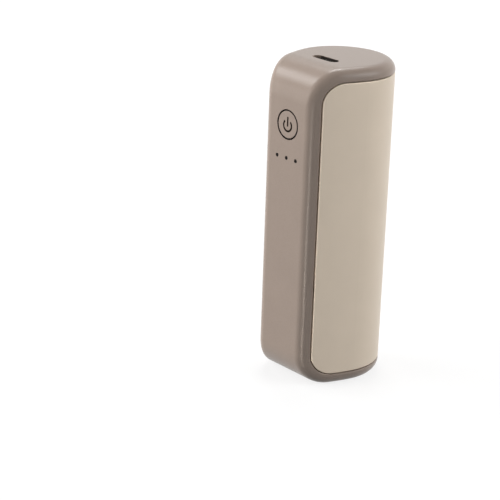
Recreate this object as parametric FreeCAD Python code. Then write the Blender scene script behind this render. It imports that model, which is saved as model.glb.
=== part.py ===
import FreeCAD, Part
import math
import os

from FreeCAD import Vector

# Pocket hand warmer: a plastic spine with a flat control face, a top cap and a foot band in one moulding,
# wrapped from side to side by a heated metal panel. One round cell stands in a cradle in the round nose,
# and the control board above it carries the button switch, the three lights and the charging socket.
# Millimetres. +Z is up along the length, +X across the flat face, and -Y points out of the flat face.
# The origin is the middle of the bounding box, at its bottom.
# Depths are measured from the flat face towards the round nose and turned into Y by y_at().

# Cell and what wraps it
cell_diameter = 18.2
cell_length = 49.5
cell_cap_height = 1.1
cell_cap_radius = 3.4
can_wall = 0.25
can_edge_chamfer = 0.2
lid_thickness = 0.8
lid_clearance = 0.03
winding_clearance = 0.1
cap_edge_chamfer = 0.35
washer_thickness = 0.3
washer_margin = 0.9
sleeve_thickness = 0.12
sleeve_lip = 1.4
cell_clearance = 0.23
cradle_wall = 1.5
foam_thickness = 1.4
foam_back_reach = 5.5
film_thickness = 0.25
glue_gap = 0.05
panel_thickness = 1.1

# Body: a flat face that rounds over at both ends, bowed sides, a round nose and one edge radius all round
flat_width = 12.4
side_radius = 44.0
edge_radius = 2.9
back_round = 8.9
cradle_back_gap = 3.75
cradle_foot_gap = 0.25
cradle_foot_chamfer = 0.6

# Housing and panel fit
adhesive_thickness = 0.15
ledge_thickness = 1.15
ledge_width = 2.2
panel_gap = 0.22
panel_edge_depth = 2.9
panel_corner_radius = 5.5
panel_edge_round = 0.3
rebate_edge_round = 0.2
panel_end_margin = 0.45

# Stack along the length
cradle_floor = 1.2
cushion_thickness = 0.8
strip_thickness = 0.15
strip_width = 5.0
retainer_gap = 0.15
retainer_thickness = 1.0
board_lower_gap = 0.65
board_height = 24.6
board_upper_gap = 1.0

# Control board and its screws
board_thickness = 1.0
board_side_gap = 0.9
screw_edge = 2.2
screw_end = 2.3
upper_screw_drop = 3.2
screw_shank_radius = 0.75
screw_length = 5.0
screw_head_radius = 1.5
screw_head_height = 1.1
screw_head_round = 0.4
screw_recess_reach = 1.0
screw_recess_width = 0.4
screw_recess_depth = 0.5
screw_hole_clearance = 0.2
pilot_clearance = 0.05
pilot_spare = 0.6
boss_wall = 1.1
ear_thickness = 1.5
ear_reach = 5.0
ear_side_gap = 0.3

# Button, symbol and switch
button_radius = 3.48
button_gap = 0.4
button_rise = 12.8
button_flange = 0.8
button_flange_thickness = 0.7
button_flange_gap = 0.1
button_edge_round = 0.15
button_travel = 0.25
symbol_radius = 1.45
symbol_stroke = 0.52
symbol_drop = 0.24
symbol_opening = math.radians(84.0)
symbol_bar_top = 2.0
symbol_bar_bottom = -0.5
symbol_depth = 0.25
switch_width = 6.0
switch_height = 5.2
switch_cover_thickness = 0.3
plunger_radius = 1.7
plunger_height = 0.9
plunger_fit = 0.08
plunger_collar = 0.5
plunger_collar_thickness = 0.7
plunger_collar_gap = 0.05
plunger_nub_radius = 0.6
switch_floor = 0.9
dome_radius = 2.2
dome_spare = 0.2
dome_thickness = 0.1
dome_gap = 0.05

# Indicator lights
light_count = 3
light_pitch = 3.45
light_rise = 4.2
light_radius = 0.47
light_hole_gap = 0.04
light_recess = 0.05
guide_height = 1.9
guide_thickness = 1.2
guide_column_radius = 0.85
guide_led_gap = 0.3
led_length = 1.6
led_width = 0.8
led_height = 0.6

# Charging socket
usb_width = 8.94
usb_height = 3.26
usb_length = 7.35
usb_wall = 0.3
usb_recess = 0.7
usb_slot_gap = 0.13
usb_lip_gap = 0.05
usb_opening_gap = 0.06
usb_leg_width = 1.1
usb_leg_setback = 1.2
usb_leg_drop = 0.4
usb_leg_clearance = 0.15
usb_base_length = 1.95
usb_base_gap = 0.03
tongue_width = 6.6
tongue_thickness = 0.7
tongue_setback = 0.6
contact_count = 12
contact_pitch = 0.5
contact_width = 0.25
contact_thickness = 0.08
contact_margin = 0.5

# Parts on the back of the board
chip_length = 4.9
chip_width = 3.9
chip_height = 1.5
chip_lead_count = 4
chip_lead_pitch = 1.27
chip_lead_width = 0.41
chip_lead_reach = 1.05
chip_lead_thickness = 0.2
chip_side = 4.3
chip_usb_gap = 0.5
coil_size = 5.0
coil_height = 2.8
coil_base_height = 1.9
coil_drum_radius = 2.0
coil_side = -4.2
coil_usb_gap = 0.5
capacitor_count = 4
capacitor_pitch = 2.4
capacitor_side = -0.2
capacitor_length = 2.0
capacitor_width = 1.25
capacitor_height = 0.9
capacitor_rise = 9.6

# Wires and sensor
wire_radius = 0.6
wire_bend = 2.4
wire_boss_gap = 0.47
ear_inner_gap = 0.17
tail_margin = 0.6
battery_wire_rise = 2.0
heater_wire_gap = 0.4
heater_cross_gap = 0.3
heater_film_run = 6.4
heater_solder_rise = 4.2
lead_radius = 0.35
lead_pitch = 1.6
lead_side = 6.6
lead_cross_gap = 1.5
lead_film_run = 4.6
lead_solder_rise = 5.2
sensor_radius = 0.9
solder_run = 2.4
wire_seat = 0.05

# Locating peg under the cradle
peg_radius = 2.0
peg_clearance = 0.1
notch_clearance = 0.6
lug_width = 3.0
lug_reach = 0.9
lug_clearance = 0.1
reach_past = 1.0

# Sizes that follow from the ones above
cell_radius = cell_diameter / 2
sleeve_radius = cell_radius + sleeve_thickness
cradle_bore = sleeve_radius + cell_clearance
cradle_radius = cradle_bore + cradle_wall
foam_inset = panel_thickness + film_thickness + 2 * glue_gap
nose_radius = cradle_radius + glue_gap + foam_thickness + foam_inset
housing_wall = panel_thickness + adhesive_thickness + ledge_thickness
flat_half = flat_width / 2
nose_depth = housing_wall + cradle_back_gap + cradle_radius
body_depth = nose_depth + nose_radius
body_width = 2 * nose_radius

# Centre of the side arc, tangent to the rounded corner and to the nose, and the turn where the nose begins
corner_reach = side_radius - edge_radius
nose_reach = side_radius - nose_radius
corner_to_nose = nose_depth - edge_radius
span = math.hypot(flat_half, corner_to_nose)
along = (span ** 2 + corner_reach ** 2 - nose_reach ** 2) / (2 * span)
across = math.sqrt(corner_reach ** 2 - along ** 2)
side_x = flat_half - (flat_half * along + corner_to_nose * across) / span
side_depth = edge_radius + (corner_to_nose * along - flat_half * across) / span
nose_turn = math.atan2(-side_x, side_depth - nose_depth)

cradle_base = housing_wall
cushion_base = cradle_base + cradle_floor
lower_strip_base = cushion_base + cushion_thickness
cell_base = lower_strip_base + strip_thickness
cavity_foot = cradle_back_gap - cradle_foot_gap
strip_below_round = max(0, housing_wall + cavity_foot - lower_strip_base)
tail_setback = cavity_foot - math.sqrt(cavity_foot ** 2 - strip_below_round ** 2)
wire_front = housing_wall + tail_setback + wire_seat
cell_top = cell_base + cell_length
upper_strip_top = cell_top + strip_thickness
retainer_base = upper_strip_top + retainer_gap
cradle_top = retainer_base + retainer_thickness
board_base = cradle_top + board_lower_gap
board_top = board_base + board_height
body_height = board_top + board_upper_gap + housing_wall
panel_bottom = edge_radius + panel_end_margin
panel_top = body_height - panel_bottom

flange_depth = housing_wall + button_flange_gap
plunger_depth = flange_depth + button_flange_thickness
cover_depth = plunger_depth + plunger_height
board_front = cover_depth + switch_height
board_back = board_front + board_thickness
usb_depth = board_back + usb_height / 2
usb_mouth = body_height - usb_recess
usb_low = usb_mouth - usb_length
button_z = board_base + button_rise
light_z = board_base + light_rise
dome_rise = button_travel + dome_spare
cell_shoulder = cell_top - cell_cap_height
wide = 2 * body_width


def y_at(depth):
    """Y of a place that lies so far behind the flat face."""
    return depth - body_depth / 2


def section_normal(turn):
    return Vector(math.sin(turn), -math.cos(turn), 0)


def half_width_at(depth, inset):
    """Half width of the section, moved in by inset, at a depth on its side arc."""
    return side_x + math.sqrt((side_radius - inset) ** 2 - (depth - side_depth) ** 2)


def section_point(turn, inset, z):
    """Point of the side or nose, moved in by inset, where it has turned so far from the flat."""
    if turn <= nose_turn:
        return Vector(side_x, y_at(side_depth), z) + section_normal(turn) * (side_radius - inset)
    return Vector(0, y_at(nose_depth), z) + section_normal(turn) * (nose_radius - inset)


def mirrored(point):
    return Vector(-point.x, point.y, point.z)


def section_wire(inset, z):
    """Closed section at a height, before its corners are rounded: flat, side, nose and side."""
    first_turn = math.acos((side_depth - inset) / (side_radius - inset))
    half = [section_point(turn, inset, z) for turn in (first_turn, (first_turn + nose_turn) / 2, nose_turn)]
    other = [mirrored(point) for point in half]
    edges = [
        Part.LineSegment(other[0], half[0]).toShape(),
        Part.Arc(half[0], half[1], half[2]).toShape(),
        Part.Arc(half[2], section_point(math.pi, inset, z), other[2]).toShape(),
        Part.Arc(other[2], other[1], other[0]).toShape(),
    ]
    return Part.Wire(edges)


def level_edges(shape, z):
    """Edges of a shape that lie wholly at one height."""
    return [e for e in shape.Edges if abs(e.BoundBox.ZMin - z) < 1e-4 and abs(e.BoundBox.ZMax - z) < 1e-4]


def cross_edges(shape, z):
    """Straight edges of a shape that run along X at one height."""
    return [e for e in shape.Edges if e.BoundBox.YLength < 1e-4 and abs(e.BoundBox.ZMin - z) < 1e-4
            and e.BoundBox.ZLength < 1e-4]


def side_loop(shape, inset):
    """Edges all round the sides and the nose, without the lines across and the seams beside the nose."""
    seam = section_point(nose_turn, inset, 0)
    edges = []
    for edge in shape.Edges:
        middle = edge.valueAt((edge.FirstParameter + edge.LastParameter) / 2)
        across_body = edge.BoundBox.YLength < 1e-4 and edge.BoundBox.ZLength < 1e-4
        at_seam = math.hypot(abs(middle.x) - seam.x, middle.y - seam.y) < 1e-4
        if not across_body and not at_seam:
            edges.append(edge)
    return edges


def body_block(inset, levels, back, edge):
    """Solid on the section between two levels, rounded at both ends of the flat and round its edges."""
    block = Part.Face(section_wire(inset, levels[0])).extrude(Vector(0, 0, levels[1] - levels[0]))
    for z, radius in zip(levels, back):
        flat_end = [e for e in cross_edges(block, z) if abs(e.BoundBox.YMin - y_at(inset)) < 1e-4]
        block = block.makeFillet(radius, flat_end)
    return block.makeFillet(edge, side_loop(block, inset))


def skin_block(inset):
    """The body's outside moved in by the same distance all over."""
    back = back_round - inset
    return body_block(inset, (inset, body_height - inset), (back, back), edge_radius - inset)


def box(x, depth, z):
    """Box between pairs of X, depth behind the flat face, and Z."""
    corner = Vector(x[0], y_at(depth[0]), z[0])
    return Part.makeBox(x[1] - x[0], depth[1] - depth[0], z[1] - z[0], corner)


def rod(radius, x, z, depth):
    """Round rod along Y between two depths."""
    return Part.makeCylinder(radius, depth[1] - depth[0], Vector(x, y_at(depth[0]), z), Vector(0, 1, 0))


def post(radius, depth, z, x=0):
    """Round post along Z at a depth, between two heights."""
    return Part.makeCylinder(radius, z[1] - z[0], Vector(x, y_at(depth), z[0]))


def wrap_region(margin):
    """Prism across the body that takes in the panel's outline, made larger by margin all round."""
    radius = panel_corner_radius + margin
    low = panel_bottom - margin
    high = panel_top + margin
    near = y_at(panel_edge_depth - margin)
    far = y_at(body_depth + reach_past)
    bend = radius * (1 - math.sqrt(0.5))
    left = -wide / 2
    points = [Vector(left, y, z) for y, z in (
        (far, low), (near + radius, low), (near + bend, low + bend), (near, low + radius),
        (near, high - radius), (near + bend, high - bend), (near + radius, high), (far, high))]
    edges = [
        Part.LineSegment(points[0], points[1]).toShape(),
        Part.Arc(points[1], points[2], points[3]).toShape(),
        Part.LineSegment(points[3], points[4]).toShape(),
        Part.Arc(points[4], points[5], points[6]).toShape(),
        Part.LineSegment(points[6], points[7]).toShape(),
        Part.LineSegment(points[7], points[0]).toShape(),
    ]
    return Part.Face(Part.Wire(edges)).extrude(Vector(wide, 0, 0))


def rim_edges(shape, margin):
    """Edges of a shape where the panel's outline, made larger by margin, meets the body's outside."""
    outside = skin_block(0).Shells[0]
    outline = wrap_region(margin).Shells[0]
    edges = []
    for edge in shape.Edges:
        middle = edge.valueAt((edge.FirstParameter + edge.LastParameter) / 2)
        spot = Part.Vertex(middle)
        if spot.distToShape(outside)[0] < 1e-4 and spot.distToShape(outline)[0] < 1e-4:
            edges.append(edge)
    return edges


def slot_prism(width, height, z):
    """Upright prism on a slot with round ends, in line with the charging socket."""
    end = height / 2
    straight = width / 2 - end
    middle = y_at(usb_depth)
    points = [Vector(x, y, z[0]) for x, y in (
        (-straight, middle - end), (straight, middle - end), (straight + end, middle),
        (straight, middle + end), (-straight, middle + end), (-straight - end, middle))]
    edges = [
        Part.LineSegment(points[0], points[1]).toShape(),
        Part.Arc(points[1], points[2], points[3]).toShape(),
        Part.LineSegment(points[3], points[4]).toShape(),
        Part.Arc(points[4], points[5], points[0]).toShape(),
    ]
    return Part.Face(Part.Wire(edges)).extrude(Vector(0, 0, z[1] - z[0]))


board_half = half_width_at(board_front, housing_wall) - board_side_gap
screw_x = board_half - screw_edge
boss_radius = screw_shank_radius + pilot_clearance + boss_wall
wire_side = screw_x - boss_radius - wire_boss_gap - wire_radius
lower_screw_z = board_base + screw_end
upper_screw_z = board_top - upper_screw_drop
screw_places = [(side * screw_x, z) for z in (lower_screw_z, upper_screw_z) for side in (-1, 1)]
light_xs = [(i - (light_count - 1) / 2) * light_pitch for i in range(light_count)]
light_end = light_xs[-1] + max(guide_column_radius, led_length / 2)
ear_inner = max(wire_side + wire_radius, light_end) + ear_inner_gap
ear_front = board_front - ear_thickness
heater_wire_side = abs(capacitor_side) + capacitor_length / 2 + heater_wire_gap + wire_radius
parts_low = usb_low - max(chip_usb_gap + chip_length, coil_usb_gap + coil_size)
heater_cross_z = parts_low - heater_cross_gap - wire_radius
lead_cross_z = parts_low - lead_cross_gap - lead_radius
sensor_z = lead_cross_z + lead_film_run


def boss_end(z):
    """Depth where a screw boss ends: under the cradle's ear, or under the board itself."""
    return ear_front if z == lower_screw_z else board_front


def back_housing():
    """Spine, top cap and foot band in one moulding, rebated for the panel and open behind it."""
    roof = body_height - housing_wall
    back = (cavity_foot, back_round - housing_wall)
    cavity = body_block(housing_wall, (housing_wall, roof), back, edge_radius - housing_wall)
    shape = skin_block(0).cut(cavity)
    seat = skin_block(panel_thickness + adhesive_thickness)
    rebate = wrap_region(panel_gap).cut(seat)
    shape = shape.cut(rebate).cut(wrap_region(-ledge_width))
    shape = shape.makeFillet(rebate_edge_round, rim_edges(shape, panel_gap))
    for x, z in screw_places:
        boss = rod(boss_radius, x, z, (housing_wall / 2, boss_end(z)))
        shape = shape.fuse(boss.common(seat))
    for x, z in screw_places:
        bottom = board_back - screw_length - pilot_spare
        shape = shape.cut(rod(screw_shank_radius + pilot_clearance, x, z, (bottom, board_back)))
    shape = shape.fuse(post(peg_radius, nose_depth, (housing_wall / 2, cushion_base)))
    holes = [slot_prism(usb_width + 2 * usb_slot_gap, usb_height + 2 * usb_slot_gap,
                        (roof - reach_past, usb_mouth + usb_lip_gap))]
    narrower = 2 * (usb_wall - usb_opening_gap)
    holes.append(slot_prism(usb_width - narrower, usb_height - narrower,
                            (usb_mouth, body_height + reach_past)))
    holes.append(rod(button_radius + button_gap, 0, button_z, (-reach_past, housing_wall + reach_past / 2)))
    holes += [rod(light_radius + light_hole_gap, x, light_z, (-reach_past, housing_wall + reach_past / 2))
              for x in light_xs]
    for hole in holes:
        shape = shape.cut(hole)
    return shape.removeSplitter()


def heat_panel():
    """Metal wrap that lies flush in the housing's rebate, with its outer rim rounded over."""
    shape = skin_block(0).cut(skin_block(panel_thickness)).common(wrap_region(0))
    return shape.makeFillet(panel_edge_round, rim_edges(shape, 0))


def panel_adhesive():
    """Tape on the housing's ledge, all round under the panel's rim."""
    under_panel = skin_block(panel_thickness + glue_gap / 2)
    tape = under_panel.cut(skin_block(panel_thickness + adhesive_thickness - glue_gap / 2))
    return tape.common(wrap_region(-panel_gap)).cut(wrap_region(-ledge_width))


def heater_film():
    """Thin heating film stuck to the inside of the panel, inside the housing's ledge."""
    front = panel_thickness + glue_gap
    film = skin_block(front).cut(skin_block(front + film_thickness))
    return film.common(wrap_region(-ledge_width - panel_gap))


def foam_pad():
    """Foam that presses the film against the panel, backed by the cradle's tube."""
    levels = (cushion_base + ledge_width + panel_bottom, cradle_top - ledge_width)
    block = Part.Face(section_wire(foam_inset, levels[0])).extrude(Vector(0, 0, levels[1] - levels[0]))
    near = nose_depth - foam_back_reach
    block = block.common(box((-wide, wide), (near, body_depth), (0, body_height)))
    return block.cut(post(cradle_radius + glue_gap, nose_depth, (0, body_height)))


def cradle_lugs(clearance):
    """Blocks for the two lugs that hold the retainer in the cradle's wall."""
    half = lug_width / 2 + clearance
    reach = cradle_bore + lug_reach + clearance
    low = retainer_base - clearance
    high = cradle_top + clearance
    near = nose_depth - half
    far = nose_depth + half
    return [box((0, reach), (near, far), (low, high)), box((-reach, 0), (near, far), (low, high))]


def wire_notch():
    """Notch at the foot of the cradle, where the lower strip comes out to the battery wire."""
    half = wire_radius + tail_margin + notch_clearance
    top = cell_base + notch_clearance
    return box((wire_side - half, wire_side + half), (0, nose_depth), (cushion_base, top))


def cell_cradle():
    """Tube that the cell stands in, with a floor on the housing's peg and two ears under the board."""
    tube = post(cradle_radius, nose_depth, (cradle_base, cradle_top))
    tube = tube.makeChamfer(cradle_foot_chamfer, level_edges(tube, cradle_base))
    for x, z in screw_places[:2]:
        side = 1 if x > 0 else -1
        inner = side * ear_inner
        outer = side * (board_half - ear_side_gap)
        ear = box(sorted((inner, outer)), (ear_front, board_front), (cradle_top - ear_reach, z + screw_edge))
        through = (ear_front - reach_past, board_front + reach_past)
        hole = rod(screw_shank_radius + screw_hole_clearance, x, z, through)
        tube = tube.fuse(ear.cut(hole))
    tube = tube.cut(post(cradle_bore, nose_depth, (cushion_base, cradle_top)))
    tube = tube.cut(post(peg_radius + peg_clearance, nose_depth, (0, cushion_base + reach_past)))
    for lug in cradle_lugs(lug_clearance):
        tube = tube.cut(lug)
    return tube.cut(wire_notch()).removeSplitter()


def strip_slot():
    """Way through the retainer for the upper strip's standing end."""
    half = strip_width / 2 + lug_clearance
    return box((-half, half), (board_back - reach_past, board_back + reach_past), (cell_top, board_base))


def cell_retainer():
    """Disc that closes the cradle over the cell, with a lug at each side."""
    disc = post(cradle_bore - lug_clearance, nose_depth, (retainer_base, cradle_top))
    for lug in cradle_lugs(0):
        disc = disc.fuse(lug)
    disc = disc.common(post(cradle_bore + lug_reach, nose_depth, (retainer_base, cradle_top)))
    return disc.cut(strip_slot()).removeSplitter()


def battery_cell():
    """Steel can, open at the top, where the lid closes it."""
    can = post(cell_radius, nose_depth, (cell_base, cell_shoulder))
    can = can.makeChamfer(can_edge_chamfer, level_edges(can, cell_shoulder))
    return can.cut(post(cell_radius - can_wall, nose_depth, (cell_base + can_wall, cell_shoulder)))


def cell_winding():
    """Wound foil core that fills the can under the lid."""
    low = cell_base + can_wall + winding_clearance
    high = cell_shoulder - lid_thickness - winding_clearance
    return post(cell_radius - can_wall - winding_clearance, nose_depth, (low, high))


def cell_cap():
    """Lid of the can with the raised positive cap in its middle."""
    cap = post(cell_cap_radius, nose_depth, (cell_shoulder, cell_top))
    cap = cap.makeChamfer(cap_edge_chamfer, level_edges(cap, cell_top))
    levels = (cell_shoulder - lid_thickness, cell_shoulder)
    lid = post(cell_radius - can_wall - lid_clearance, nose_depth, levels)
    return lid.fuse(cap).removeSplitter()


def cell_washer():
    """Paper ring on the lid, round the positive cap."""
    levels = (cell_shoulder, cell_shoulder + washer_thickness)
    ring = post(cell_radius - washer_margin, nose_depth, levels)
    return ring.cut(post(cell_cap_radius + glue_gap, nose_depth, levels))


def cell_sleeve():
    """Shrink sleeve round the can, from its foot to just under its rolled edge."""
    top = cell_shoulder - sleeve_lip
    tube = post(sleeve_radius, nose_depth, (cell_base, top))
    return tube.cut(post(cell_radius + glue_gap / 2, nose_depth, (0, top + reach_past)))


def end_cushion():
    """Foam disc between the cradle's floor and the lower strip."""
    return post(cradle_bore - cell_clearance, nose_depth, (cushion_base, lower_strip_base))


def nickel_strip_negative():
    """Strip across the cell's foot, with a tail that comes out of the cradle under the battery wire."""
    half = strip_width / 2
    tail = wire_radius + tail_margin
    levels = (lower_strip_base, cell_base)
    across = box((-half, wire_side + tail), (nose_depth - half, nose_depth + half), levels)
    out = box((wire_side - tail, wire_side + tail), (wire_front, nose_depth + half), levels)
    return across.fuse(out).removeSplitter()


def nickel_strip_positive():
    """Strip on the cell's cap that bends up against the board."""
    half = strip_width / 2
    flat = box((-half, half), (board_back, nose_depth + cell_cap_radius), (cell_top, upper_strip_top))
    up = box((-half, half), (board_back, board_back + strip_thickness), (cell_top, board_base + solder_run))
    return flat.fuse(up).removeSplitter()


def control_board():
    """Board with four screw holes and slots for the socket's legs."""
    board = box((-board_half, board_half), (board_front, board_back), (board_base, board_top))
    for x, z in screw_places:
        board = board.cut(rod(screw_shank_radius + screw_hole_clearance, x, z, (board_front, board_back)))
    for leg in usb_legs(usb_leg_clearance):
        board = board.cut(leg)
    return board


def board_screw(x, z):
    """Pan-head screw, with a cross recess, driven from behind the board."""
    head = rod(screw_head_radius, x, z, (board_back, board_back + screw_head_height))
    outer = [e for e in head.Edges if e.BoundBox.YMin > y_at(board_back) + 1e-4]
    head = head.makeFillet(screw_head_round, outer)
    shape = head.fuse(rod(screw_shank_radius, x, z, (board_back - screw_length, board_back)))
    arm = screw_recess_reach
    deep = (board_back + screw_head_height - screw_recess_depth, board_back + screw_head_height)
    half = screw_recess_width / 2
    shape = shape.cut(box((x - arm, x + arm), deep, (z - half, z + half)))
    return shape.cut(box((x - half, x + half), deep, (z - arm, z + arm)))


def board_screws():
    return Part.makeCompound([board_screw(x, z) for x, z in screw_places])


def usb_legs(clearance):
    """Four legs of the socket's shell, which go through the board."""
    outer = usb_width / 2 + clearance
    inner = usb_width / 2 - usb_wall - clearance
    half = usb_leg_width / 2 + clearance
    heights = (usb_low + usb_leg_setback, board_top - usb_leg_setback)
    depth = (board_front - usb_leg_drop, usb_depth)
    return [box(sorted((side * inner, side * outer)), depth, (z - half, z + half))
            for side in (-1, 1) for z in heights]


def usb_shell():
    """Steel shell of the charging socket, on the board's back face, with its mouth under the top slot."""
    shell = slot_prism(usb_width, usb_height, (usb_low, usb_mouth))
    for leg in usb_legs(0):
        shell = shell.fuse(leg)
    bore = slot_prism(usb_width - 2 * usb_wall, usb_height - 2 * usb_wall, (usb_low, usb_mouth))
    return shell.cut(bore).removeSplitter()


def usb_tongue():
    """Insulating base of the socket with its flat tongue."""
    shrink = 2 * (usb_wall + usb_base_gap)
    base = slot_prism(usb_width - shrink, usb_height - shrink, (usb_low, usb_low + usb_base_length))
    half = tongue_thickness / 2
    tongue = box((-tongue_width / 2, tongue_width / 2), (usb_depth - half, usb_depth + half),
                 (usb_low, usb_mouth - tongue_setback))
    return base.fuse(tongue).removeSplitter()


def usb_contacts():
    """Two rows of contact strips on the tongue's faces."""
    low = usb_low + usb_base_length + contact_margin
    high = usb_mouth - tongue_setback - contact_margin
    strips = []
    for face in (-1, 1):
        near = usb_depth + face * tongue_thickness / 2
        depth = sorted((near, near + face * contact_thickness))
        for i in range(contact_count):
            x = (i - (contact_count - 1) / 2) * contact_pitch
            strips.append(box((x - contact_width / 2, x + contact_width / 2), depth, (low, high)))
    return Part.makeCompound(strips)


def power_button():
    """Round button, flush with the flat face, kept in by a flange behind the wall."""
    cap = rod(button_radius, 0, button_z, (0, flange_depth))
    front = [e for e in cap.Edges if e.BoundBox.YMax < y_at(0) + 1e-4]
    cap = cap.makeFillet(button_edge_round, front)
    flange = rod(button_radius + button_gap + button_flange, 0, button_z, (flange_depth, plunger_depth))
    cap = cap.fuse(flange)
    return cap.cut(power_symbol()).removeSplitter()


def power_symbol():
    """Inlaid on-off mark: a ring open at the top with an upright bar in the opening."""
    middle = button_z - symbol_drop
    ring = rod(symbol_radius + symbol_stroke / 2, 0, middle, (0, symbol_depth))
    ring = ring.cut(rod(symbol_radius - symbol_stroke / 2, 0, middle, (0, symbol_depth)))
    spread = 2 * symbol_radius * math.tan(symbol_opening / 2)
    corners = [(0, 0), (spread, 2 * symbol_radius), (-spread, 2 * symbol_radius), (0, 0)]
    opening = Part.makePolygon([Vector(x, y_at(0), middle + z) for x, z in corners])
    ring = ring.cut(Part.Face(opening).extrude(Vector(0, symbol_depth, 0)))
    half = symbol_stroke / 2
    bar = box((-half, half), (0, symbol_depth), (button_z + symbol_bar_bottom, button_z + symbol_bar_top))
    return Part.makeCompound([ring, bar])


def switch_square(depth):
    half = switch_width / 2
    return box((-half, half), depth, (button_z - half, button_z + half))


well_radius = plunger_radius + plunger_collar + plunger_fit
well_floor = board_front - switch_floor


def switch_base():
    """Moulded base of the switch on the board's front face, with a round well."""
    base = switch_square((cover_depth + switch_cover_thickness, board_front))
    well = max(well_radius, dome_radius + plunger_fit)
    return base.cut(rod(well, 0, button_z, (cover_depth, well_floor)))


def switch_cover():
    """Metal plate on the switch, with the hole that guides the plunger."""
    plate = switch_square((cover_depth, cover_depth + switch_cover_thickness))
    return plate.cut(rod(plunger_radius + plunger_fit, 0, button_z, (0, board_front)))


def switch_plunger():
    """Plunger between the button and the dome, kept in by a collar under the cover."""
    under = cover_depth + switch_cover_thickness + plunger_collar_gap
    shape = rod(plunger_radius, 0, button_z, (plunger_depth, under))
    collar = rod(plunger_radius + plunger_collar, 0, button_z, (under, under + plunger_collar_thickness))
    nub = rod(plunger_nub_radius, 0, button_z, (under, well_floor - dome_rise - dome_gap))
    return shape.fuse(collar).fuse(nub).removeSplitter()


def switch_dome():
    """Snap dome on the well's floor, bulging towards the plunger."""
    ball = (dome_radius ** 2 + dome_rise ** 2) / (2 * dome_rise)
    centre = Vector(0, y_at(well_floor - dome_rise + ball), button_z)
    cap = Part.makeSphere(ball, centre).cut(Part.makeSphere(ball - dome_thickness, centre))
    return cap.common(rod(dome_radius, 0, button_z, (well_floor - 2 * dome_rise, well_floor)))


def light_guide():
    """Clear bar behind the wall, with a stub in each light hole and a column over each light."""
    bar = box((-light_end, light_end), (housing_wall, housing_wall + guide_thickness),
              (light_z - guide_height / 2, light_z + guide_height / 2))
    for x in light_xs:
        bar = bar.fuse(rod(light_radius, x, light_z, (light_recess, housing_wall + guide_thickness)))
        column_end = board_front - led_height - guide_led_gap
        bar = bar.fuse(rod(guide_column_radius, x, light_z, (housing_wall, column_end)))
    return bar.removeSplitter()


def indicator_leds():
    """One small lamp for each light hole, on the board's front face."""
    return Part.makeCompound([
        box((x - led_length / 2, x + led_length / 2), (board_front - led_height, board_front),
            (light_z - led_width / 2, light_z + led_width / 2)) for x in light_xs])


def control_chip():
    """Charging and heating chip with a row of bent leads along each side."""
    half = chip_length / 2
    z = usb_low - chip_usb_gap - half
    stand = board_back + chip_lead_thickness
    body = box((chip_side - chip_width / 2, chip_side + chip_width / 2), (stand, board_back + chip_height),
               (z - half, z + half))
    for side in (-1, 1):
        root = chip_side + side * chip_width / 2
        foot = root + side * chip_lead_reach
        knee = root + side * chip_lead_reach / 2
        for i in range(chip_lead_count):
            low = z + (i - (chip_lead_count - 1) / 2) * chip_lead_pitch - chip_lead_width / 2
            rows = (low, low + chip_lead_width)
            middle = board_back + chip_height / 2
            ankle = knee + side * chip_lead_thickness
            body = body.fuse(box(sorted((root - side * chip_lead_thickness, ankle)),
                                 (middle, middle + chip_lead_thickness), rows))
            body = body.fuse(box(sorted((knee, ankle)), (board_back, middle + chip_lead_thickness), rows))
            body = body.fuse(box(sorted((knee, foot)), (board_back, board_back + chip_lead_thickness), rows))
    return body.removeSplitter()


def power_inductor():
    """Square wound inductor with a round drum top."""
    half = coil_size / 2
    z = usb_low - coil_usb_gap - half
    block = box((coil_side - half, coil_side + half), (board_back, board_back + coil_base_height),
                (z - half, z + half))
    drum = rod(coil_drum_radius, coil_side, z, (board_back, board_back + coil_height))
    return block.fuse(drum).removeSplitter()


def chip_capacitors():
    """Column of small capacitors up the middle of the board."""
    middle = board_base + capacitor_rise
    zs = [middle + (i - (capacitor_count - 1) / 2) * capacitor_pitch for i in range(capacitor_count)]
    half = capacitor_length / 2
    return Part.makeCompound([
        box((capacitor_side - half, capacitor_side + half), (board_back, board_back + capacitor_height),
            (z - capacitor_width / 2, z + capacitor_width / 2)) for z in zs])


def wire(points, radius, bend):
    """Round wire along straight runs with a tangent arc at every corner."""
    edges = []
    start = points[0]
    for before, corner, after in zip(points, points[1:], points[2:]):
        back = (before - corner).normalize()
        ahead = (after - corner).normalize()
        turn = math.pi - back.getAngle(ahead)
        run = bend * math.tan(turn / 2)
        enter = corner + back * run
        leave = corner + ahead * run
        middle = (back + ahead).normalize()
        centre = corner + middle * (bend / math.cos(turn / 2))
        edges.append(Part.LineSegment(start, enter).toShape())
        edges.append(Part.Arc(enter, centre - middle * bend, leave).toShape())
        start = leave
    edges.append(Part.LineSegment(start, points[-1]).toShape())
    spine = Part.Wire(edges)
    ring = Part.Wire(Part.Circle(points[0], points[1] - points[0], radius).toShape())
    tube = spine.makePipeShell([ring], True, True)
    share = tube.Volume / (math.pi * radius ** 2 * spine.Length)
    print("wire length %.1f mm, volume %.4f of its section times length" % (spine.Length, share))
    return tube


def battery_wire():
    """Wire from the lower strip's tail up along the spine to the front of the board."""
    depth = wire_front + wire_radius
    top = board_base + battery_wire_rise
    points = [Vector(wire_side, y_at(depth), cell_base), Vector(wire_side, y_at(depth), top),
              Vector(wire_side, y_at(board_front), top)]
    return wire(points, wire_radius, wire_bend)


def film_wire(x, radius, film_z, cross_z, board_z):
    """Wire that lies on the film, crosses the bay above the cell and lies on the board."""
    reach = foam_inset - glue_gap
    tip = math.sqrt((nose_radius - reach) ** 2 - (abs(x) + radius) ** 2) + nose_depth
    film_side = y_at(tip - radius - wire_seat)
    board_side = y_at(board_back + radius)
    points = [Vector(x, film_side, film_z), Vector(x, film_side, cross_z), Vector(x, board_side, cross_z),
              Vector(x, board_side, board_z)]
    return wire(points, radius, wire_bend)


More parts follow.
